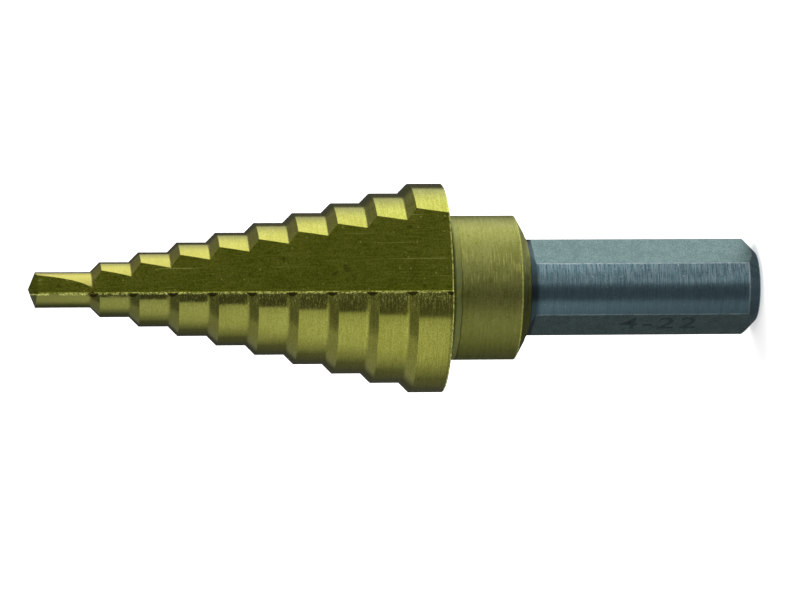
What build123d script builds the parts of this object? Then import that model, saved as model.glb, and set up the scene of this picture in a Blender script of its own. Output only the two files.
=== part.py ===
from build123d import *
from math import radians, tan
import os

# Step drill, 4 to 22 mm in ten steps, ground from one bar of high-speed steel.
# Frame: Z is the drill's axis, the shank's end face is at z = 0 and the tip points up.
# All sizes are in millimetres and all angles in degrees.

# Steps
first_diameter = 4.0        # hole cut by the pilot, the first step
diameter_rise = 2.0         # from one step to the next
step_count = 10
step_pitch = 4.0            # along the axis, from one shoulder to the next
shoulder_angle = 45.0       # shoulder against the axis
shoulder_root_radius = 0.5  # hollow where a shoulder meets the smaller land
pilot_length = 6.2          # from the tip to the first shoulder
last_land_length = 3.6      # cylindrical length of the largest step
back_edge_break = 0.12      # broken edge at the back of the largest step
back_slope = 7.0            # back of the largest step, hollowed towards the collar
land_relief = 0.16          # how far a land has fallen inwards a quarter turn behind its edge
shoulder_relief = 0.2       # how far a shoulder has fallen towards the shank there

# Point
point_angle = 135.0         # included angle of the point
flank_clearance = 3.0       # each flank's cone leans back by this much
tip_web_half_thickness = 0.13   # what the thinning leaves of the web at the very tip
thinning_slope = 40.0       # floor of the thinning against the axis

# Flutes
flute_count = 2
land_turn = 0.6             # of a turn, from a cutting edge to well past the land's heel
cutting_edge_offset = 0.4   # rake face behind the plane through the axis
web_half_thickness = 0.8    # flute floor to axis, were it to reach the tip
flute_slope = 9.0           # flute floor against the axis
flute_root_radius = 0.2

# Collar behind the steps
collar_diameter = 15.0
collar_length = 8.5         # with its chamfer
collar_back_rise = 0.9      # the collar's back is turned to a cone, this long
collar_back_width = 1.6     # and this wide
collar_root_radius = 0.8    # hollow between the collar and the largest step

# Shank with three flats for a drill chuck
shank_diameter = 10.0
shank_length = 24.7
shank_chamfer = 1.4
shank_root_radius = 0.4     # hollow between shank and collar
flat_count = 3
flat_depth = 0.56
flat_neck = 0.95            # full round left between a flat and the collar
flat_runout = 0.6           # length of the ramp at the end of a flat
flat_turn = 87.0            # the first flat's direction, from +X about the axis

# Derived sizes
first_radius = first_diameter / 2
radius_rise = diameter_rise / 2
last_radius = first_radius + radius_rise * (step_count - 1)
shoulder_length = radius_rise / tan(radians(shoulder_angle))
shank_radius = shank_diameter / 2
collar_radius = collar_diameter / 2
steps_back = shank_length + collar_length
first_shoulder = steps_back + last_land_length + shoulder_length + step_pitch * (step_count - 2)
tip = first_shoulder + pilot_length
collar_root = steps_back - (last_radius - back_edge_break - collar_radius) * tan(radians(back_slope))
collar_root_rim = collar_root + 2 * collar_root_radius * tan(radians(back_slope))
point_slope = 90 - point_angle / 2
relief_shift = land_relief / 2
clear = last_radius + collar_root_radius + 1    # cutters reach this far past the axis
core_radius = (cutting_edge_offset + web_half_thickness) / 2


# One land, here with its cutting edge on the -X side. Its section is swept along a coarse
# helix, so that the shoulders fall towards the shank behind the edge. Its axis is set a
# little off the drill's, so that the round faces fall inwards too.
def land_radius(step):
    return first_radius + radius_rise * step - relief_shift


roots = [first_shoulder - step_pitch * step for step in range(step_count - 1)]
outline = [(core_radius / 2, tip + clear), (land_radius(0), tip + clear)]
for step, root in enumerate(roots):
    outline.append((land_radius(step), root))
    outline.append((land_radius(step + 1), root - shoulder_length))
outline.append((land_radius(step_count - 1), steps_back - clear))
outline.append((core_radius / 2, steps_back - clear))
land_plane = Plane(origin=(0, 0, 0), x_dir=(-1, 0, 0), z_dir=(0, 1, 0))


def at_shoulder_root(corner):
    place = land_plane.to_local_coords(corner.center())
    gaps = [
        abs(place.X - land_radius(step)) + abs(place.Y - root)
        for step, root in enumerate(roots)
    ]
    return min(gaps) < 0.001


with BuildPart() as land_form:
    with BuildLine() as land_path:
        Helix(
            pitch=4 * shoulder_relief,
            height=4 * shoulder_relief * land_turn,
            radius=core_radius,
            direction=(0, 0, -1),
        )
    with BuildSketch(land_plane) as land_profile:
        with BuildLine() as land_outline:
            Polyline(*outline, close=True)
        make_face()
        fillet(land_profile.vertices().filter_by(at_shoulder_root), radius=shoulder_root_radius)
    sweep(path=land_path.line, is_frenet=True)

with BuildPart() as land:
    with Locations(Location((relief_shift, -relief_shift, 0), (0, 0, 90))):
        add(land_form.part)
    # The land keeps its own side of both rake faces, and they meet on the axis.
    with BuildSketch(Plane.XY.offset(steps_back - clear)) as own_side:
        with BuildLine() as own_side_outline:
            Polyline(
                (-cutting_edge_offset, -clear),
                (-cutting_edge_offset, 0),
                (cutting_edge_offset, 0),
                (cutting_edge_offset, clear),
                (-clear, clear),
                (-clear, -clear),
                close=True,
            )
        make_face()
    extrude(amount=tip + 3 * clear - steps_back, mode=Mode.INTERSECT)

# The back of the largest step is turned to a hollow cone with a broken edge.
with BuildPart() as back_limit:
    with BuildSketch(Plane.XZ) as back_limit_profile:
        with BuildLine() as back_limit_outline:
            Polyline(
                (0, collar_root),
                (collar_radius, collar_root),
                (last_radius - back_edge_break, steps_back),
                (last_radius + clear, steps_back + back_edge_break + clear),
                (last_radius + clear, tip + 2 * clear),
                (0, tip + 2 * clear),
                close=True,
            )
        make_face()
    revolve(axis=Axis.Z)

# A point flank is a cone about an axis that leans back from the lip.
flank_height = clear * tan(radians(point_slope))
flank_plane = Plane(origin=(0, 0, tip), x_dir=(1, 0, 0), z_dir=(0, -1, 0)).rotated((0, 0, flank_clearance))
with BuildPart() as flank:
    with BuildSketch(flank_plane) as flank_profile:
        with BuildLine() as flank_outline:
            Polyline(
                (0, 0),
                (clear, -flank_height),
                (clear, -flank_height - tip),
                (0, -flank_height - tip),
                close=True,
            )
        make_face()
    revolve(axis=Axis(flank_plane.origin, flank_plane.y_dir))

# A flute is a straight groove with a level floor that climbs towards the tip.
floor_rise = tan(radians(flute_slope))
floor_back = web_half_thickness + floor_rise * (tip - steps_back)
flute_plane = Plane(
    origin=(-cutting_edge_offset, -floor_back, steps_back),
    x_dir=(1, 0, 0),
    z_dir=(0, floor_rise, 1),
)
with BuildPart() as flute:
    with BuildSketch(flute_plane.offset(-clear * floor_rise)) as flute_profile:
        Rectangle(2 * clear, 2 * clear, align=(Align.MIN, Align.MAX))
        fillet(flute_profile.vertices().sort_by_distance(flute_plane.origin)[0], radius=flute_root_radius)
    extrude(amount=tip + clear - steps_back)

# The web is thinned at the point by a second, steeper cut along the same rake face.
thinning_plane = Plane(
    origin=(-cutting_edge_offset, -tip_web_half_thickness, tip),
    x_dir=(1, 0, 0),
    z_dir=(0, tan(radians(thinning_slope)), 1),
)
with BuildPart() as thinning:
    with BuildSketch(thinning_plane.offset(-pilot_length)) as thinning_profile:
        Rectangle(2 * clear, 2 * clear, align=(Align.MIN, Align.MAX))
    extrude(amount=pilot_length + clear)

# A shank flat, cut as one long slab with a ramp at its inner end.
flat_distance = shank_radius - flat_depth
flat_end = shank_length - flat_neck
ramp_reach = flat_depth + shank_root_radius / 8     # the ramp carries on a little past the round
ramp_end = flat_end + flat_runout * ramp_reach / flat_depth
with BuildPart() as flat:
    with BuildSketch(Plane.XZ) as flat_profile:
        with BuildLine() as flat_outline:
            Polyline(
                (flat_distance, -shank_chamfer),
                (flat_distance, flat_end),
                (flat_distance + ramp_reach, ramp_end),
                (shank_diameter, ramp_end),
                (shank_diameter, -shank_chamfer),
                close=True,
            )
        make_face()
    extrude(amount=shank_diameter, both=True)


def at_collar_root(corner):
    return (corner.center() - Vector(collar_radius, 0, collar_root)).length < 0.001


with BuildPart() as step_drill:
    # Lands on a solid core, trimmed at the back of the steps and at the point
    with PolarLocations(0, flute_count):
        add(land.part)
    with Locations((0, 0, steps_back)):
        Cylinder(core_radius, tip - steps_back, align=(Align.CENTER, Align.CENTER, Align.MIN))
    add(back_limit.part, mode=Mode.INTERSECT)
    with PolarLocations(0, flute_count):
        add(flank.part, mode=Mode.INTERSECT)

    # Collar and shank
    with BuildSketch(Plane.XZ) as body_profile:
        with BuildLine() as body_outline:
            Polyline(
                (0, steps_back),
                (collar_radius + 2 * collar_root_radius, steps_back),
                (collar_radius + 2 * collar_root_radius, collar_root_rim),
                (collar_radius, collar_root),
                (collar_radius, shank_length + collar_back_rise),
                (collar_radius - collar_back_width, shank_length),
                (shank_radius + shank_root_radius, shank_length),
            )
            RadiusArc(
                (shank_radius + shank_root_radius, shank_length),
                (shank_radius, shank_length - shank_root_radius),
                shank_root_radius,
            )
            Polyline(
                (shank_radius, shank_length - shank_root_radius),
                (shank_radius, shank_chamfer),
                (shank_radius - shank_chamfer, 0),
                (0, 0),
                (0, steps_back),
            )
        make_face()
        fillet(body_profile.vertices().filter_by(at_collar_root), radius=collar_root_radius)
    revolve(axis=Axis.Z)

    # Cuts into both
    with PolarLocations(0, flute_count):
        add(flute.part, mode=Mode.SUBTRACT)
    with PolarLocations(0, flute_count):
        add(thinning.part, mode=Mode.SUBTRACT)
    with PolarLocations(0, flat_count, start_angle=flat_turn):
        add(flat.part, mode=Mode.SUBTRACT)

step_drill.part.label = "step_drill"
os.makedirs("parts", exist_ok=True)
export_step(step_drill.part, "parts/step_drill.step")
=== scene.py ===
import math
import bpy
from mathutils import Matrix, Vector


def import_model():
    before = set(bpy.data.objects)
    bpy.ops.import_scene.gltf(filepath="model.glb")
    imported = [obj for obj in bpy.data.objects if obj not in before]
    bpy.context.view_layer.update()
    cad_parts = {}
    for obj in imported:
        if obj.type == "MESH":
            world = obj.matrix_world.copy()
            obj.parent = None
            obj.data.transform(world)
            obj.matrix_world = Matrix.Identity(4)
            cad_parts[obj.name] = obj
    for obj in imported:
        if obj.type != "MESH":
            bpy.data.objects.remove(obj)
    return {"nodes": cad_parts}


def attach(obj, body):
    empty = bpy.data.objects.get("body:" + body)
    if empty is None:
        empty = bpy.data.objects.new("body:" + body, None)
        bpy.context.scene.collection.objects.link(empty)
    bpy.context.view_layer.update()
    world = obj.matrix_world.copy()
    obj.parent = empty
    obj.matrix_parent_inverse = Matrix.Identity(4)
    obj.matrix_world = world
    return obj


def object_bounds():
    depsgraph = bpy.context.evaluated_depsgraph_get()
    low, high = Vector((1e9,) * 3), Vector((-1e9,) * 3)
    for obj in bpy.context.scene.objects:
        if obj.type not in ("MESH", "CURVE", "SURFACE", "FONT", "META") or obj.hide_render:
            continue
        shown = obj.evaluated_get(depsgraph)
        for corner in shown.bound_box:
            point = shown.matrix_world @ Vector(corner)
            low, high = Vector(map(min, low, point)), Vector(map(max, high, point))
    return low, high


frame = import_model()
cad_low, cad_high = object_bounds()

# The frame is in metres: Z is the drill's axis, the shank's end face is on the floor
# at z = 0, and the camera stands on the -Y side. +X is up in the picture.
MM = 0.001

# The drill's own sizes
LENGTH = cad_high[2]
SHANK_LENGTH = 24.7 * MM
COLLAR_LENGTH = 8.5 * MM
STEPS_BACK = SHANK_LENGTH + COLLAR_LENGTH
LAST_LAND_LENGTH = 3.6 * MM
STEP_PITCH = 4.0 * MM
SHOULDER_SHARE = 0.25                           # of the pitch
SHOULDER_RELIEF = 0.2 * MM                      # in a quarter turn
BACK_RIM_RADIUS = 10.88 * MM
BACK_SLOPE = math.radians(7)
RAKE_OFFSET = 0.4 * MM
FLUTE_ROOT_RADIUS = 0.2 * MM
FLUTE_SLOPE = math.radians(9)
THINNING_SLOPE = math.radians(40)
AXIS_TO_FLAT = 4.44 * MM
FLAT_TURNS = [math.radians(turn) for turn in (87, 207, 327)]    # about the axis, from +X

# Heights that follow from them
CHAMFER_END = 1.4 * MM
FLAT_END = SHANK_LENGTH - 1.0 * MM
COATING_END = SHANK_LENGTH - 0.32 * MM
CONE_END = SHANK_LENGTH + 0.9 * MM              # edge between the cone and the collar
COLLAR_TOP = STEPS_BACK - 0.5 * MM              # faces above this are the steps'
LOWEST_SHOULDER = STEPS_BACK + LAST_LAND_LENGTH
STEPS_END = LOWEST_SHOULDER + 8.5 * STEP_PITCH  # half a pitch past the last shoulder
POINT_BACK = LENGTH - 1.1 * MM

# How a face is told to be part of a region
LANDS, COLLAR, FLUTES, SHANK, FLATS = range(5)  # as dress() numbers them
SHANK_REACH = 5.3 * MM                          # the shank is all nearer to the axis
FLUTE_BOTTOM = COLLAR_TOP - 1.0 * MM
SAME_PLACE = 0.01 * MM
SAME_NORMAL = 0.01

# Where the colours change. A pair is a span: the change starts at the first number and
# ends at the second. These go up the drill:
TOWARDS_POINT = (LOWEST_SHOULDER - 0.8 * MM, LENGTH - 2.0 * MM)
NECK_SHADE_START = (FLAT_END - 0.4 * MM, FLAT_END + 0.1 * MM)
CONE_SHADE = (CONE_END - 0.15 * MM, CONE_END)
GREY_BAND_START = (STEPS_BACK - 1.4 * MM, STEPS_BACK - 1.1 * MM)
GREY_BAND_LINE = STEPS_BACK - 1.3 * MM
GREY_BAND_WAVE = 0.3 * MM
COLLAR_ROOT_SHADE = (STEPS_BACK - 0.8 * MM, STEPS_BACK - 0.58 * MM)
# These go across it, along X. They follow the brightness in the photo, and most place
# painted shade on the lower sides and limit painted sheen and highlights:
LANDS_LOWER_SIDE = (-0.5 * MM, 1.0 * MM)
COLLAR_LOWER_SIDE = (-5.0 * MM, -1.5 * MM)
COLLAR_UPPER_SIDE = (1.5 * MM, 4.5 * MM)
SHANK_MIDDLE = (-0.6 * MM, 1.0 * MM)
SHANK_LOWER_SIDE = (-2.8 * MM, -1.2 * MM)
SHANK_EDGES_DIM = (-2.2 * MM, 1.0 * MM)
# These go away from an edge, a line or a flute's root:
EDGE_MARGIN = 0.05 * MM
GLINT_LINE = (0.04 * MM, 0.12 * MM)
BACK_LINE = (0.08 * MM, 0.15 * MM)
DARK_LINE = (0.03 * MM, 0.12 * MM)
EDGE_GLINT_SPAN = (0.06 * MM, 0.2 * MM)
EDGE_SPARKLE_SPAN = (0.1 * MM, 2.2 * MM)
ROOT_SHADE = (0.1 * MM, 0.24 * MM)
ROOT_GLINTS = (0.06 * MM, 0.14 * MM)
# This goes out from the axis, towards the edges of the shank's flats:
FLAT_EDGE_LINE = (AXIS_TO_FLAT - 0.08 * MM, AXIS_TO_FLAT - 0.01 * MM)
# And this by how far a face in a flute is turned towards X, as the rake face is:
RAKE_FACING = (0.93, 0.99)

# Painted shade in a dark lens behind the cutting edge, where a shoulder starts
LENS_SHARE = 0.31                               # of the pitch
LENS_DEPTH = 0.42 * MM
LENS_RIM = 0.08 * MM

# The hollow at a shoulder's root: its half width in shares of the pitch, where it grows
# behind the cutting edge and where it shrinks towards the heel, as turns in radians
HOLLOW_WIDTH = (0.06, 0.12)
HOLLOW_GROWS = (0.05, 0.2)
HOLLOW_SHRINKS = (1.6, 2.2)

# Camera
CAMERA_PLACE = Vector((-1.23, -499.15, 100.97)) * MM
CAMERA_RIGHT = Vector((-0.005615, -0.12633, -0.99197))
CAMERA_UP = Vector((0.99998, -0.000709, -0.00557))
LENS = 218.1

# Colours, as linear values
GOLD_LIGHT = (0.565, 0.58, 0.125, 1.0)
GOLD_DEEP = (0.39, 0.40, 0.06, 1.0)
GOLD_GLINT = (0.70, 0.72, 0.16, 1.0)
# Painted glints and sheen, and the flutes' scratches and specks
GOLD_GLINT_AND_SCRATCH = (0.90, 0.92, 0.26, 1.0)
COLLAR_LIGHT = (0.46, 0.475, 0.155, 1.0)
COLLAR_DEEP = (0.29, 0.305, 0.06, 1.0)
OLIVE_LIGHT = (0.38, 0.42, 0.052, 1.0)
OLIVE_DEEP = (0.21, 0.24, 0.012, 1.0)
# Dark stains and a dark line, and painted shade in the lens, the collar's hollow, the cone and the
# flutes' roots
STAIN_AND_SHADE = (0.06, 0.06, 0.01, 1.0)
PAINTED_SHADE_GOLD = (0.205, 0.215, 0.055, 1.0)
RED_GOLD = (0.52, 0.465, 0.125, 1.0)
BROWN_GREY = (0.235, 0.275, 0.10, 1.0)
STEEL_LIGHT = (0.325, 0.51, 0.575, 1.0)
STEEL_DEEP = (0.12, 0.215, 0.26, 1.0)
STEEL_EVEN = (0.21, 0.345, 0.405, 1.0)
STEEL_GLINT_AND_SPECK = (0.7, 0.82, 0.85, 1.0)
SATIN_LIGHT = (0.215, 0.32, 0.315, 1.0)
SATIN_DEEP = (0.12, 0.195, 0.195, 1.0)
STEEL_SHADE_AND_SPECK = (0.055, 0.09, 0.10, 1.0)
ETCHED_LIGHT = (0.12, 0.17, 0.17, 1.0)
ETCHED_DEEP = (0.07, 0.11, 0.11, 1.0)
FLOOR_PALE = (0.85, 0.85, 0.85, 1.0)
WHITE = (1.0, 1.0, 1.0, 1.0)

# What all the ground finishes share. Scales are in noise cells to the metre.
GRAIN_SCALE = 6500.0
FINE_MARKS_SCALE = 9500.0
ROUGH_SPAN = (0.35, 0.65)                       # the roughness follows the marks between these
ACROSS_MARKS = 0.25                             # of a turn, which the highlights are turned by
MARK_DEPTH = 0.02 * MM
EDGE_BREAK = 0.05 * MM
HOLLOW_REACH = 0.55 * MM
BEVEL_SAMPLES = 6
DULLED_METALLIC = 0.45
DOT_CORE = 0.6                                  # of a dot's radius
DOTLESS_SHARE = 0.8                             # of the cells

# Studio
FLOOR_HALF_WIDTH = 12.0
FLOOR_GLOW = 0.5
SKY_LIGHT = 0.6
SKY_SEEN = 1.0


class Graph:
    """A material's or world's node tree, with short calls to add and join nodes."""

    def __init__(self, owner):
        owner.use_nodes = True
        self.tree = owner.node_tree
        self.tree.nodes.clear()

    def node(self, kind, settings=None, **inputs):
        """Adds a node. The inputs go by name, with _ for each space."""
        made = self.tree.nodes.new(kind)
        for name, value in (settings or {}).items():
            setattr(made, name, value)
        for name, value in inputs.items():
            self.feed(made, name.replace("_", " "), value)
        return made

    def feed(self, node, name, value):
        """Gives an input, by name or number, a constant or another node's output."""
        socket = node.inputs[int(name)] if name.isdigit() else node.inputs[name]
        if isinstance(value, bpy.types.NodeSocket):
            self.tree.links.new(value, socket)
        else:
            socket.default_value = value

    def place(self):
        return self.node("ShaderNodeTexCoord").outputs["Object"]

    def split(self, vector):
        return self.node("ShaderNodeSeparateXYZ", Vector=vector).outputs

    def join(self, x=0.0, y=0.0, z=0.0):
        return self.node("ShaderNodeCombineXYZ", X=x, Y=y, Z=z).outputs[0]

    def vector(self, operation, first, second=None):
        """Vector maths. LENGTH and DOT_PRODUCT give a number, the others a vector."""
        made = self.node("ShaderNodeVectorMath", {"operation": operation})
        self.feed(made, "0", first)
        if second is not None:
            self.feed(made, "3" if operation == "SCALE" else "1", second)
        return made.outputs["Value" if operation in ("LENGTH", "DOT_PRODUCT") else "Vector"]

    def math(self, operation, first, second=0.0):
        made = self.node("ShaderNodeMath", {"operation": operation})
        self.feed(made, "0", first)
        self.feed(made, "1", second)
        return made.outputs[0]

    def product(self, first, *others):
        for other in others:
            first = self.math("MULTIPLY", first, other)
        return first

    def inverse(self, value):
        return self.math("SUBTRACT", 1.0, value)

    def apart(self, first, second):
        return self.math("ABSOLUTE", self.math("SUBTRACT", first, second))

    def blend(self, factor, first, second):
        """Goes from the first colour to the second."""
        made = self.node("ShaderNodeMix", {"data_type": "RGBA"})
        self.feed(made, "0", factor)
        self.feed(made, "6", first)
        self.feed(made, "7", second)
        return made.outputs[2]

    def mix(self, factor, first, second):
        """Goes from the first number to the second."""
        made = self.node("ShaderNodeMix", {"data_type": "FLOAT"})
        self.feed(made, "0", factor)
        self.feed(made, "2", first)
        self.feed(made, "3", second)
        return made.outputs[0]

    def range(self, value, low, high, to_low, to_high):
        made = self.node("ShaderNodeMapRange")
        for index, number in enumerate((value, low, high, to_low, to_high)):
            self.feed(made, str(index), number)
        return made.outputs[0]

    def rise(self, value, low, high, top=1.0):
        """0 below low, top above high."""
        return self.range(value, low, high, 0.0, top)

    def fade(self, value, low, high, top=1.0):
        """Top below low, 0 above high."""
        return self.range(value, low, high, top, 0.0)

    def noise(self, place, scale=1.0, detail=2.0):
        made = self.node("ShaderNodeTexNoise", Vector=place, Scale=scale, Detail=detail)
        return made.outputs[0]


def around_axis(graph, turn_scale, length_scale):
    """Coordinates drawn out round the drill's axis, for marks from grinding in the round."""
    x, y, z = graph.split(graph.place())
    outward = graph.join(x, y)
    turn = graph.vector("SCALE", graph.vector("NORMALIZE", outward), turn_scale)
    height = graph.product(z, length_scale)
    reach = graph.product(graph.vector("LENGTH", outward), length_scale)
    across = graph.math("SUBTRACT", height, reach)
    return graph.vector("ADD", turn, graph.join(z=across))


def along_axis(graph, side_scale, length_scale):
    """Coordinates drawn out along a flute, both on its floor and on its rake face."""
    x, y, z = graph.split(graph.place())
    climb = graph.product(z, math.tan(FLUTE_SLOPE))
    above = graph.math("ADD", graph.math("ABSOLUTE", y), climb)
    across = graph.math("ADD", x, above)
    return graph.join(graph.product(across, side_scale), 0.0, graph.product(z, length_scale))


def weighed(graph, *parts):
    """The sum of (value, weight) pairs."""
    total = graph.product(*parts[0])
    for value, weight in parts[1:]:
        total = graph.math("ADD", total, graph.product(value, weight))
    return total


def turned_marks(graph, place, long_scale, long_detail, short_scale, mottle_scale, shares):
    """Marks from grinding in the round, and "all" of them mixed by their shares.

    The long and the short marks' scales are (round the axis, across the marks).
    """
    marks = {
        "long": graph.noise(around_axis(graph, *long_scale), detail=long_detail),
        "short": graph.noise(around_axis(graph, *short_scale)),
        "grain": graph.noise(place, GRAIN_SCALE),
        "mottle": graph.noise(place, mottle_scale, detail=3.0),
    }
    marks["all"] = weighed(graph, *zip(marks.values(), shares))
    return marks


def contrast(graph, marks, half_width):
    """Draws the marks' values out from their middle to 0 and 1."""
    return graph.rise(marks, 0.5 - half_width, 0.5 + half_width)


def dots(graph, scale, size, strength):
    """Sparse round specks, no more than one to a cell: strength inside one, 0 elsewhere."""
    cells = graph.node("ShaderNodeTexVoronoi", Vector=graph.place(), Scale=scale)
    near = graph.fade(cells.outputs["Distance"], size * DOT_CORE, size)
    chance = graph.split(cells.outputs["Color"])[0]
    return graph.product(near, graph.math("GREATER_THAN", chance, DOTLESS_SHARE), strength)


def streaks(graph, x, middle, full_width, end_width, turn_scale, strength):
    """Pale painted sheen on fine marks in a band along the drill, fading from full_width off its
    middle.
    """
    glancing = graph.fade(graph.apart(x, middle), full_width, end_width)
    fine_marks = graph.noise(around_axis(graph, turn_scale, FINE_MARKS_SCALE), detail=1.0)
    return graph.product(graph.rise(fine_marks, 0.52, 0.64, strength), glancing)


def metal(graph, colour, rough, relief, bump, anisotropy=0.0, turn=0.0, hollow=None, less_metallic=None):
    """The shader of a ground surface, with broken edges, soft hollows, and less metal under painted
    glints and marks.
    """
    reach = EDGE_BREAK
    if hollow is not None:
        reach = graph.range(hollow, 0.0, 1.0, EDGE_BREAK, HOLLOW_REACH)
    metallic = 1.0
    if less_metallic is not None:
        metallic = graph.range(less_metallic, 0.0, 1.0, 1.0, DULLED_METALLIC)
    edges = graph.node("ShaderNodeBevel", {"samples": BEVEL_SAMPLES}, Radius=reach)
    bumped = graph.node(
        "ShaderNodeBump",
        Strength=bump,
        Distance=MARK_DEPTH,
        Height=relief,
        Normal=edges.outputs[0],
    )
    tangent = graph.node("ShaderNodeTangent", {"direction_type": "RADIAL", "axis": "Z"})
    shader = graph.node(
        "ShaderNodeBsdfPrincipled",
        Base_Color=colour,
        Metallic=metallic,
        Roughness=rough,
        Anisotropic=anisotropy,
        Anisotropic_Rotation=turn,
        Normal=bumped.outputs[0],
        Tangent=tangent.outputs[0],
    )
    graph.node("ShaderNodeOutputMaterial", Surface=shader.outputs[0])


def new_finish(name):
    material = bpy.data.materials.new(name)
    graph = Graph(material)
    return material, graph, graph.place()


def back_edge(graph, place):
    """Painted highlight at the edge round the back of the largest step, 0 elsewhere."""
    x, y, z = graph.split(place)
    inward = graph.math("SUBTRACT", BACK_RIM_RADIUS, graph.vector("LENGTH", graph.join(x, y)))
    rim = graph.math("SUBTRACT", STEPS_BACK, graph.product(inward, math.tan(BACK_SLOPE)))
    line = graph.fade(graph.apart(z, rim), *BACK_LINE)
    glints = graph.range(graph.noise(place, 3200.0), 0.4, 0.55, 0.3, 0.9)
    return graph.product(line, glints)


def behind_edge(graph, x, y):
    """How far a place on a land lies behind the land's cutting edge, below 0 in a flute."""
    return graph.math("SUBTRACT", graph.product(x, graph.math("SIGN", y)), RAKE_OFFSET)


def step_share(graph, z, turn):
    """How far a place lies along its step, as a share of the pitch."""
    fallen = graph.product(turn, SHOULDER_RELIEF / (math.pi / 2))
    lifted = graph.math("SUBTRACT", graph.math("ADD", z, fallen), LOWEST_SHOULDER)
    return graph.math("FRACT", graph.math("DIVIDE", lifted, STEP_PITCH))


def burnt_lens(graph, share, behind):
    """Painted shade in a dark lens behind the cutting edge, where each shoulder starts."""
    along = graph.math("MINIMUM", graph.math("DIVIDE", share, LENS_SHARE), 1.0)
    depth = graph.product(graph.math("SINE", graph.product(along, math.pi)), LENS_DEPTH)
    return graph.rise(graph.math("SUBTRACT", depth, behind), 0.0, LENS_RIM, 0.9)


def worn_edge(graph, place, marks, behind, towards_point):
    """Painted glints at the cutting edge, and painted sparkle beside it on the lower steps."""
    glints = graph.range(graph.noise(place, 5200.0), 0.44, 0.58, 0.15, 1.0)
    edge = graph.product(graph.fade(behind, *EDGE_GLINT_SPAN), glints)
    sparks = graph.product(
        graph.rise(marks["short"], 0.48, 0.62),
        graph.range(marks["grain"], 0.42, 0.6, 0.2, 1.0),
    )
    beside = graph.product(graph.fade(behind, *EDGE_SPARKLE_SPAN, 0.7), sparks)
    beside = graph.product(beside, graph.inverse(towards_point))
    return graph.math("MAXIMUM", edge, beside)


def shoulder_hollow(graph, share, turn):
    """The hollow where a shoulder meets the smaller land, less deep near a land's heel."""
    hollow = graph.fade(graph.apart(share, SHOULDER_SHARE), *HOLLOW_WIDTH)
    hollow = graph.product(hollow, graph.rise(turn, *HOLLOW_GROWS))
    return graph.product(hollow, graph.range(turn, *HOLLOW_SHRINKS, 1.0, 0.3))


def coated_round():
    """The coating on lands and shoulders, which are ground in the round."""
    material, graph, place = new_finish("coating_ground_round")
    marks = turned_marks(
        graph,
        place,
        long_scale=(3.0, 5200.0),
        long_detail=3.0,
        short_scale=(14.0, 9000.0),
        mottle_scale=420.0,
        shares=(0.2, 0.25, 0.4, 0.15),
    )
    colour = graph.blend(contrast(graph, marks["all"], half_width=0.07), GOLD_DEEP, GOLD_LIGHT)
    colour = graph.blend(dots(graph, scale=1500.0, size=0.16, strength=0.5), colour, OLIVE_DEEP)

    # Towards the point the lower side is darker, as painted shade, and the upper side is redder,
    # to match the photo.
    x, y, z = graph.split(place)
    towards_point = graph.rise(z, *TOWARDS_POINT, 0.98)
    below = graph.fade(x, *LANDS_LOWER_SIDE)
    colour = graph.blend(graph.product(towards_point, below), colour, PAINTED_SHADE_GOLD)
    above = graph.product(graph.inverse(below), 0.8)
    colour = graph.blend(graph.product(towards_point, above), colour, RED_GOLD)

    # turn is the angle that a place lies behind its cutting edge, up to half a turn
    behind = behind_edge(graph, x, y)
    turned_y = graph.product(y, graph.math("SIGN", x))
    turn = graph.math("ARCTAN2", graph.math("ABSOLUTE", x), turned_y)
    share = step_share(graph, z, turn)
    on_steps = graph.math("LESS_THAN", z, STEPS_END)
    on_land = graph.math("GREATER_THAN", behind, -EDGE_MARGIN)
    # The lens is painted shade, in the corner where a shoulder meets the cutting edge
    lens_shade = graph.product(burnt_lens(graph, share, behind), on_land)
    colour = graph.blend(graph.product(lens_shade, on_steps), colour, STAIN_AND_SHADE)
    # Painted glints and sparkle at the cutting edge and round the back edge brighten the colour
    brightened = worn_edge(graph, place, marks, behind, towards_point)
    brightened = graph.product(brightened, on_land, graph.inverse(lens_shade))
    brightened = graph.math("MAXIMUM", brightened, back_edge(graph, place))
    metal(
        graph,
        colour=graph.blend(brightened, colour, GOLD_GLINT_AND_SCRATCH),
        rough=graph.range(marks["all"], *ROUGH_SPAN, 0.17, 0.22),
        relief=weighed(graph, (marks["long"], 0.3), (marks["short"], 0.5), (marks["grain"], 0.2)),
        bump=0.18,
        anisotropy=0.9,
        turn=ACROSS_MARKS,
        hollow=graph.product(shoulder_hollow(graph, share, turn), on_steps),
        less_metallic=brightened,
    )
    return material


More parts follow.
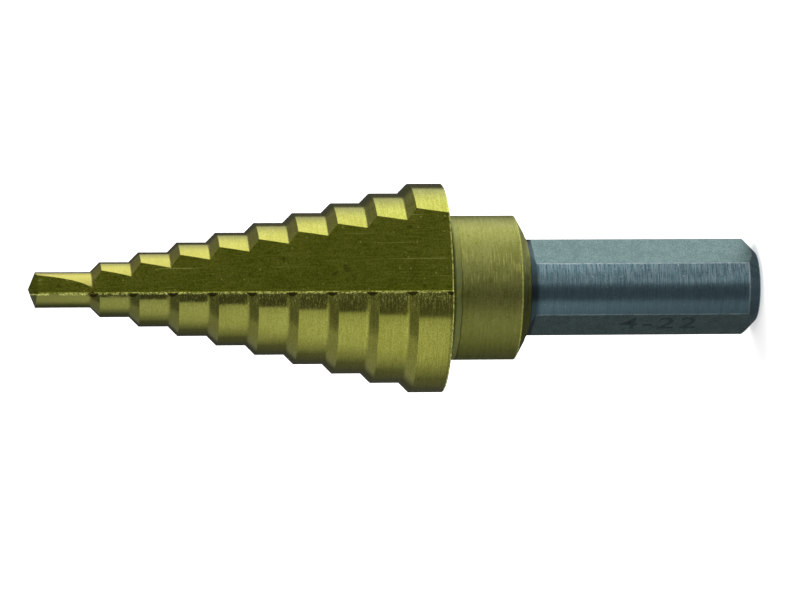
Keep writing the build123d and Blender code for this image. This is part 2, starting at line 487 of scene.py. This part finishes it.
def coated_collar():
    """The coating on the collar, ground in the round with heavier marks, grey beside the steps."""
    material, graph, place = new_finish("coating_ground_collar")
    marks = turned_marks(
        graph,
        place,
        long_scale=(1.6, 4600.0),
        long_detail=1.0,
        short_scale=(7.0, 7000.0),
        mottle_scale=380.0,
        shares=(0.17, 0.3, 0.4, 0.13),
    )
    colour = graph.blend(contrast(graph, marks["all"], half_width=0.1), COLLAR_DEEP, COLLAR_LIGHT)
    colour = graph.blend(dots(graph, scale=1300.0, size=0.2, strength=0.6), colour, OLIVE_DEEP)
    x, _, z = graph.split(place)
    # Painted sheen on the grinding marks, in a band on the upper side
    pale = streaks(
        graph,
        x,
        middle=1.8 * MM,
        full_width=0.8 * MM,
        end_width=2.4 * MM,
        turn_scale=5.0,
        strength=0.4,
    )
    colour = graph.blend(pale, colour, GOLD_GLINT_AND_SCRATCH)
    # Painted shade on the lower side
    colour = graph.blend(graph.fade(x, *COLLAR_LOWER_SIDE, 0.3), colour, OLIVE_DEEP)

    # A smeared grey band before the steps, with a wavy dark line, fading on the upper side
    wave = graph.product(graph.math("SUBTRACT", marks["mottle"], 0.5), GREY_BAND_WAVE)
    wavy = graph.math("ADD", z, wave)
    fading = graph.range(x, *COLLAR_UPPER_SIDE, 1.0, 0.3)
    grey = graph.product(graph.rise(wavy, *GREY_BAND_START), fading)
    smears = graph.rise(graph.noise(place, 1100.0, 3.0), 0.42, 0.6, 0.7)
    colour = graph.blend(grey, colour, graph.blend(smears, BROWN_GREY, COLLAR_DEEP))
    line = graph.fade(graph.apart(wavy, GREY_BAND_LINE), *DARK_LINE, 0.6)
    colour = graph.blend(graph.product(line, fading), colour, STAIN_AND_SHADE)
    # Painted shade in the hollow before the steps
    colour = graph.blend(graph.rise(wavy, *COLLAR_ROOT_SHADE, 0.9), colour, STAIN_AND_SHADE)

    # The cone behind the collar is darkened with painted shade, and its edge has a painted highlight
    colour = graph.blend(graph.fade(z, *CONE_SHADE, 0.35), colour, STAIN_AND_SHADE)
    line = graph.fade(graph.apart(z, CONE_END), *GLINT_LINE, 0.8)
    edge = graph.product(line, graph.range(marks["grain"], 0.4, 0.6, 0.4, 1.0))
    metal(
        graph,
        colour=graph.blend(edge, colour, GOLD_GLINT),
        rough=graph.range(marks["all"], *ROUGH_SPAN, 0.46, 0.54),
        relief=weighed(graph, (marks["long"], 0.5), (marks["short"], 0.3), (marks["grain"], 0.2)),
        bump=0.8,
        anisotropy=0.6,
        turn=ACROSS_MARKS,
        less_metallic=graph.math("MAXIMUM", edge, graph.product(grey, 0.6)),
    )
    return material


def coated_flute():
    """The coating in the flutes: speckled, with thin scratches along their floor."""
    material, graph, place = new_finish("coating_ground_along")
    fine_marks = graph.noise(along_axis(graph, side_scale=7000.0, length_scale=500.0))
    grain = graph.noise(place, GRAIN_SCALE, detail=3.0)
    mottle = graph.noise(place, scale=330.0, detail=4.0)
    mixed = weighed(graph, (fine_marks, 0.3), (grain, 0.55), (mottle, 0.15))
    colour = graph.blend(contrast(graph, mixed, half_width=0.09), OLIVE_DEEP, OLIVE_LIGHT)
    stains = graph.rise(graph.noise(place, 900.0), 0.66, 0.74, 0.5)
    colour = graph.blend(stains, colour, STAIN_AND_SHADE)

    # Along the root the floor is darkened with painted shade and given painted glints; the rake face
    # is left out
    x, y, _ = graph.split(place)
    from_rake = graph.product(behind_edge(graph, x, y), -1.0)
    facing = graph.node("ShaderNodeTexCoord").outputs["Normal"]
    sideways = graph.math("ABSOLUTE", graph.split(facing)[0])
    off_rake = graph.fade(sideways, *RAKE_FACING)
    shaded = graph.product(graph.fade(from_rake, *ROOT_SHADE, 0.75), off_rake)
    colour = graph.blend(shaded, colour, STAIN_AND_SHADE)
    glints = graph.product(graph.rise(graph.noise(place, 4200.0), 0.46, 0.62, 0.6), off_rake)
    root = graph.product(graph.fade(from_rake, *ROOT_GLINTS), glints)

    # Scratches, in patches, and specks
    lines = graph.noise(along_axis(graph, side_scale=4200.0, length_scale=45.0), detail=1.0)
    patches = graph.noise(place, 140.0)
    scratch = graph.product(graph.rise(lines, 0.62, 0.69, 0.3), graph.rise(patches, 0.47, 0.57))
    # Painted glints at the root and the back edge, with the real scratches and specks, brighten the
    # colour
    brightened = graph.math("MAXIMUM", root, back_edge(graph, place))
    specks = dots(graph, scale=1900.0, size=0.2, strength=0.35)
    scraped = graph.math("MAXIMUM", scratch, specks)
    brightened = graph.math("MAXIMUM", brightened, scraped)
    metal(
        graph,
        colour=graph.blend(brightened, colour, GOLD_GLINT_AND_SCRATCH),
        rough=graph.range(mixed, *ROUGH_SPAN, 0.27, 0.36),
        relief=weighed(graph, (grain, 0.6), (fine_marks, 0.4)),
        bump=0.4,
        anisotropy=0.2,
        less_metallic=brightened,
    )
    return material


def flat_edges(graph, place):
    """Painted highlights at the edges of the shank's flats, 0 elsewhere."""
    closest = 0.0
    for turn in FLAT_TURNS:
        outward = (math.cos(turn), math.sin(turn), 0.0)
        towards = graph.vector("DOT_PRODUCT", place, outward)
        closest = graph.math("MAXIMUM", towards, closest)
    glints = graph.range(graph.noise(place, 1600.0), 0.4, 0.6, 0.4, 1.0)
    line = graph.rise(closest, *FLAT_EDGE_LINE)
    beside_flat = graph.math("LESS_THAN", graph.split(place)[2], FLAT_END)
    return graph.product(line, glints, beside_flat)


def bare_round():
    """Bare steel of the shank, ground in the round, with painted shade in the neck beside the
    coating.
    """
    material, graph, place = new_finish("steel_ground_round")
    marks = turned_marks(
        graph,
        place,
        long_scale=(1.2, 7200.0),
        long_detail=1.0,
        short_scale=(5.0, 8500.0),
        mottle_scale=420.0,
        shares=(0.25, 0.35, 0.3, 0.1),
    )
    colour = graph.blend(contrast(graph, marks["all"], half_width=0.09), STEEL_DEEP, STEEL_LIGHT)
    colour = graph.blend(dots(graph, scale=1700.0, size=0.17, strength=0.7), colour, STEEL_GLINT_AND_SPECK)

    # Even below the middle and streaked above it, as painted sheen on the grinding marks; darker
    # on the lower side and in the neck, as painted shade, to match the photo. The even and the
    # darker parts may be its light rather than a finish.
    x, _, z = graph.split(place)
    colour = graph.blend(graph.fade(x, *SHANK_MIDDLE, 0.7), colour, STEEL_EVEN)
    # Painted sheen on the grinding marks, in a band above the middle
    pale = streaks(
        graph,
        x,
        middle=1.4 * MM,
        full_width=0.8 * MM,
        end_width=1.9 * MM,
        turn_scale=3.0,
        strength=0.38,
    )
    above_chamfer = graph.math("GREATER_THAN", z, CHAMFER_END)
    colour = graph.blend(graph.product(pale, above_chamfer), colour, STEEL_GLINT_AND_SPECK)
    colour = graph.blend(graph.fade(x, *SHANK_LOWER_SIDE, 0.5), colour, STEEL_SHADE_AND_SPECK)
    colour = graph.blend(graph.rise(z, *NECK_SHADE_START, 0.9), colour, STEEL_SHADE_AND_SPECK)

    # Painted highlights at the edges of the flats and the chamfer, dimmer on the lower side
    chamfer_edge = graph.fade(graph.apart(z, CHAMFER_END), *GLINT_LINE, 0.6)
    edges = graph.math("MAXIMUM", flat_edges(graph, place), chamfer_edge)
    edges = graph.product(edges, graph.range(x, *SHANK_EDGES_DIM, 0.4, 1.0))
    metal(
        graph,
        colour=graph.blend(edges, colour, STEEL_GLINT_AND_SPECK),
        rough=graph.range(marks["all"], *ROUGH_SPAN, 0.27, 0.36),
        relief=weighed(graph, (marks["long"], 0.5), (marks["short"], 0.3), (marks["grain"], 0.2)),
        bump=0.9,
        anisotropy=0.8,
        turn=ACROSS_MARKS,
        less_metallic=edges,
    )
    return material


def bare_flat():
    """Bare steel of the shank's flats, with a fine even finish."""
    material, graph, place = new_finish("steel_ground_flat")
    grain = graph.noise(place, GRAIN_SCALE, detail=3.0)
    mottle = graph.noise(place, scale=900.0, detail=4.0)
    mixed = weighed(graph, (grain, 0.75), (mottle, 0.25))
    colour = graph.blend(contrast(graph, mixed, half_width=0.07), SATIN_DEEP, SATIN_LIGHT)
    specks = dots(graph, scale=1300.0, size=0.15, strength=0.4)
    metal(
        graph,
        colour=graph.blend(specks, colour, STEEL_SHADE_AND_SPECK),
        rough=graph.range(mixed, *ROUGH_SPAN, 0.34, 0.44),
        relief=grain,
        bump=0.3,
    )
    return material


def etched():
    """The dark surface of the etched size mark."""
    material, graph, place = new_finish("etched_mark")
    grain = graph.noise(place, 6000.0)
    colour = graph.blend(contrast(graph, grain, half_width=0.2), ETCHED_DEEP, ETCHED_LIGHT)
    shader = graph.node("ShaderNodeBsdfPrincipled", Base_Color=colour, Metallic=1.0, Roughness=0.6)
    graph.node("ShaderNodeOutputMaterial", Surface=shader.outputs[0])
    return material


def region(face):
    """The finish that a face of the drill has."""
    centre = face.center
    normal = face.normal
    if centre.z < COATING_END and math.hypot(centre.x, centre.y) < SHANK_REACH:
        facing = centre.x * normal.x + centre.y * normal.y
        upright = abs(normal.z) < SAME_NORMAL
        on_flat = upright and abs(facing - AXIS_TO_FLAT) < SAME_PLACE
        return FLATS if on_flat else SHANK
    side = -1 if centre.y < 0 else 1
    in_flute = abs(normal.x) < SAME_NORMAL and centre.z > FLUTE_BOTTOM
    on_floor = in_flute and abs(normal.z - math.sin(FLUTE_SLOPE)) < SAME_NORMAL
    on_thinning = in_flute and abs(normal.z - math.sin(THINNING_SLOPE)) < SAME_NORMAL
    off_rake = abs(abs(centre.x) - RAKE_OFFSET)
    on_rake = abs(normal.x) > 1 - SAME_NORMAL and off_rake < 2 * SAME_PLACE
    across = RAKE_OFFSET - side * centre.x
    in_root = -SAME_PLACE < across < FLUTE_ROOT_RADIUS and COLLAR_TOP < centre.z < POINT_BACK
    if on_floor or on_thinning or on_rake or in_root:
        return FLUTES
    return COLLAR if centre.z < COLLAR_TOP else LANDS


def dress(drill):
    """Gives each face of the drill the finish of its region."""
    drill.data.materials.clear()
    for made in (coated_round(), coated_collar(), coated_flute(), bare_round(), bare_flat()):
        drill.data.materials.append(made)
    for face in drill.data.polygons:
        face.material_index = region(face)


# The light tent's brightness, as (azimuth, brightness) pairs. Azimuths are in degrees
# about the drill's axis, from -Y towards +X.
WALL_LIGHT = (
    (-180, 0.06), (-150, 0.07), (-118, 0.16), (-98, 0.47), (-80, 0.8), (-62, 0.88),
    (-48, 0.86), (-35, 0.7), (-31, 0.09), (-12, 0.11), (4, 0.14), (10, 0.22), (26, 0.4),
    (40, 1.25), (92, 1.52), (110, 1.45), (127, 0.95), (139, 0.7), (144, 0.1), (180, 0.05),
)
NEAR_FLOOR_LIGHT = (
    (-180, 0.05), (-150, 0.07), (-126, 0.14), (-112, 0.14), (-90, 0.14), (-62, 0.11),
    (-50, 0.1), (-37, 0.1), (-31, 0.09), (0, 0.11), (6, 0.22), (12, 0.56), (20, 0.46),
    (38, 0.16), (60, 0.25), (86, 0.6), (92, 1.3), (118, 1.32), (130, 0.95), (139, 0.85),
    (144, 0.1), (180, 0.05),
)
ROOF_LIGHT = (
    (-180, 0.15), (-155, 0.25), (-140, 0.34), (-106, 0.36), (-86, 0.6), (-50, 0.66),
    (-30, 0.5), (-15, 0.24), (40, 0.2), (70, 0.38), (100, 0.4), (130, 0.2), (180, 0.12),
)
POLE_LIGHT = 0.14
GROUND_LIGHT = 0.14
BRIGHTEST = 2.0                 # what a brightness curve can hold

# The light tent's shape, and where each light in it gives way to the next
TENT_RADIUS = 1.2
TENT_SECTORS = 72
TENT_CLEARANCE = 0.0001         # between its ground and the floor
TENT_GROUND_REACHES = (0.0001, 0.02, 0.2, TENT_RADIUS)
TENT_POLE_REACH = 0.001
TENT_GROUND_TOP = 0.01          # all that is lower is its ground
DRILL_MIDDLE = 0.04             # elevations are seen from this height
GROUND_TO_NEAR_FLOOR = (0.005, 0.011)
NEAR_FLOOR_TO_WALL = (0.19, 0.23)
WALL_TO_ROOF = (math.radians(16), math.radians(26))
ROOF_TO_POLE = (math.radians(55), math.radians(59))


def sector_light(graph, turn, stops):
    """Brightness by azimuth, where turn is 0 to 1 for azimuths from -180 to 180 degrees."""
    ramp = graph.node("ShaderNodeFloatCurve")
    curve = ramp.mapping.curves[0]
    points = [(degrees / 360 + 0.5, level / BRIGHTEST) for degrees, level in stops]
    curve.points[0].location = points[0]
    curve.points[1].location = points[-1]
    for point in points[1:-1]:
        curve.points.new(*point)
    for point in curve.points:
        point.handle_type = "VECTOR"
    ramp.mapping.update()
    graph.feed(ramp, "Value", turn)
    return graph.product(ramp.outputs[0], BRIGHTEST)


def tent_material():
    """Light that changes round the tent and with the elevation seen from the drill."""
    material, graph, place = new_finish("tent_cloth")
    x, y, z = graph.split(place)
    angle = graph.math("ARCTAN2", x, graph.product(y, -1.0))
    turn = graph.math("ADD", graph.math("DIVIDE", angle, 2 * math.pi), 0.5)
    reach = graph.math("SQRT", graph.math("ADD", graph.product(x, x), graph.product(y, y)))
    elevation = graph.math("ARCTAN2", graph.math("SUBTRACT", z, DRILL_MIDDLE), reach)
    on_ground = graph.math("LESS_THAN", z, TENT_GROUND_TOP)
    near = graph.product(graph.fade(reach, *NEAR_FLOOR_TO_WALL), on_ground)
    beside = graph.product(graph.fade(reach, *GROUND_TO_NEAR_FLOOR), on_ground)
    level = graph.mix(
        graph.rise(elevation, *WALL_TO_ROOF),
        sector_light(graph, turn, WALL_LIGHT),
        sector_light(graph, turn, ROOF_LIGHT),
    )
    level = graph.mix(graph.rise(elevation, *ROOF_TO_POLE), level, POLE_LIGHT)
    level = graph.mix(near, level, sector_light(graph, turn, NEAR_FLOOR_LIGHT))
    level = graph.mix(beside, level, GROUND_LIGHT)
    glow = graph.node("ShaderNodeEmission", Strength=level)
    graph.node("ShaderNodeOutputMaterial", Surface=glow.outputs[0])
    return material


def tent():
    """A light tent round the drill, which only its reflections see."""
    profile = [(reach, TENT_CLEARANCE) for reach in TENT_GROUND_REACHES]
    for degrees in range(5, 90, 5):
        rise = math.radians(degrees)
        profile.append((TENT_RADIUS * math.cos(rise), TENT_RADIUS * math.sin(rise)))
    profile.append((TENT_POLE_REACH, TENT_RADIUS))
    points = []
    faces = []
    for reach, height in profile:
        for index in range(TENT_SECTORS):
            turn = 2 * math.pi * index / TENT_SECTORS
            points.append((reach * math.cos(turn), reach * math.sin(turn), height))
    for ring in range(len(profile) - 1):
        low = ring * TENT_SECTORS
        high = low + TENT_SECTORS
        for index in range(TENT_SECTORS):
            after = (index + 1) % TENT_SECTORS
            faces.append((low + index, low + after, high + after, high + index))
    mesh = bpy.data.meshes.new("light_tent")
    mesh.from_pydata(points, [], faces)
    mesh.materials.append(tent_material())
    made = bpy.data.objects.new("light_tent", mesh)
    bpy.context.scene.collection.objects.link(made)
    made.visible_camera = False
    made.visible_diffuse = False
    made.visible_transmission = False
    made.visible_shadow = False


def seen_directly(graph):
    """1 for rays from the camera and for those that a polished or clear surface sends on."""
    path = graph.node("ShaderNodeLightPath")
    glossy = graph.math("MAXIMUM", path.outputs["Is Camera Ray"], path.outputs["Is Glossy Ray"])
    return graph.math("MAXIMUM", glossy, path.outputs["Is Transmission Ray"])


def floor():
    """A plain pale floor, bright enough to be white in the picture, that keeps the drill's shadow."""
    half = FLOOR_HALF_WIDTH
    corners = [(-half, -half, 0), (half, -half, 0), (half, half, 0), (-half, half, 0)]
    mesh = bpy.data.meshes.new("floor")
    mesh.from_pydata(corners, [], [(0, 1, 2, 3)])
    material = bpy.data.materials.new("pale_floor")
    graph = Graph(material)
    matte = graph.node("ShaderNodeBsdfDiffuse", Color=FLOOR_PALE)
    level = graph.product(seen_directly(graph), FLOOR_GLOW)
    glow = graph.node("ShaderNodeEmission", Strength=level)
    both = graph.node("ShaderNodeAddShader")
    graph.feed(both, "0", matte.outputs[0])
    graph.feed(both, "1", glow.outputs[0])
    graph.node("ShaderNodeOutputMaterial", Surface=both.outputs[0])
    mesh.materials.append(material)
    made = bpy.data.objects.new("floor", mesh)
    bpy.context.scene.collection.objects.link(made)


def world():
    """Soft light from all round, white where it is seen."""
    made = bpy.data.worlds.new("studio")
    bpy.context.scene.world = made
    graph = Graph(made)
    level = graph.range(seen_directly(graph), 0.0, 1.0, SKY_LIGHT, SKY_SEEN)
    sky = graph.node("ShaderNodeBackground", Color=WHITE, Strength=level)
    graph.node("ShaderNodeOutputWorld", Surface=sky.outputs[0])


def lamp(name, place, aim, width, height, power):
    """A soft box, which neither the camera nor reflections see."""
    light = bpy.data.lights.new(name, "AREA")
    light.shape = "RECTANGLE"
    light.size = width
    light.size_y = height
    light.energy = power
    made = bpy.data.objects.new(name, light)
    made.location = place
    made.rotation_euler = (Vector(aim) - Vector(place)).to_track_quat("-Z", "Y").to_euler()
    bpy.context.scene.collection.objects.link(made)
    made.visible_camera = False
    made.visible_glossy = False


def camera():
    """The camera of the photo, which sees the standing drill turned on its side."""
    data = bpy.data.cameras.new("camera")
    data.sensor_width = 36.0
    data.lens = LENS
    data.clip_start = 0.01
    data.clip_end = 50.0
    made = bpy.data.objects.new("camera", data)
    bpy.context.scene.collection.objects.link(made)
    right = CAMERA_RIGHT.normalized()
    back = right.cross(CAMERA_UP).normalized()
    up = back.cross(right)
    turn = Matrix((right, up, back)).transposed().to_4x4()
    made.matrix_world = Matrix.Translation(CAMERA_PLACE) @ turn
    bpy.context.scene.camera = made


def mark():
    """The drill's range of sizes, as a dark skin on the flat that is lower in the picture."""
    height_on_shank = 10.6 * MM
    off_middle = 0.24 * MM
    proud = 0.004 * MM
    stretch = 1.1
    turn = FLAT_TURNS[1]
    outward = Vector((math.cos(turn), math.sin(turn), 0))
    reading = Vector((0, 0, -1))
    up = outward.cross(reading)
    text = bpy.data.curves.new("size_mark", "FONT")
    text.body = "4-22"
    text.size = 3.5 * MM
    text.align_x = "CENTER"
    text.align_y = "CENTER"
    text.extrude = proud
    text.space_character = 1.2
    text.offset = 0.03 * MM
    text.materials.append(etched())
    made = bpy.data.objects.new("size_mark", text)
    bpy.context.scene.collection.objects.link(made)
    axes = Matrix((reading, up, outward)).transposed().to_4x4()
    place = outward * AXIS_TO_FLAT + Vector((0, 0, height_on_shank)) + up * off_middle
    widen = Matrix.Diagonal((stretch, 1.0, 1.0, 1.0))
    made.matrix_world = Matrix.Translation(place) @ axes @ widen
    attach(made, "root")


dress(frame["nodes"]["step_drill"])
mark()
floor()
tent()
world()
lamp("top_light", place=(0.5, 0.4, 1.6), aim=(0, 0, 0), width=1.2, height=1.2, power=20.0)
camera()
bpy.context.scene.view_settings.view_transform = "Standard"
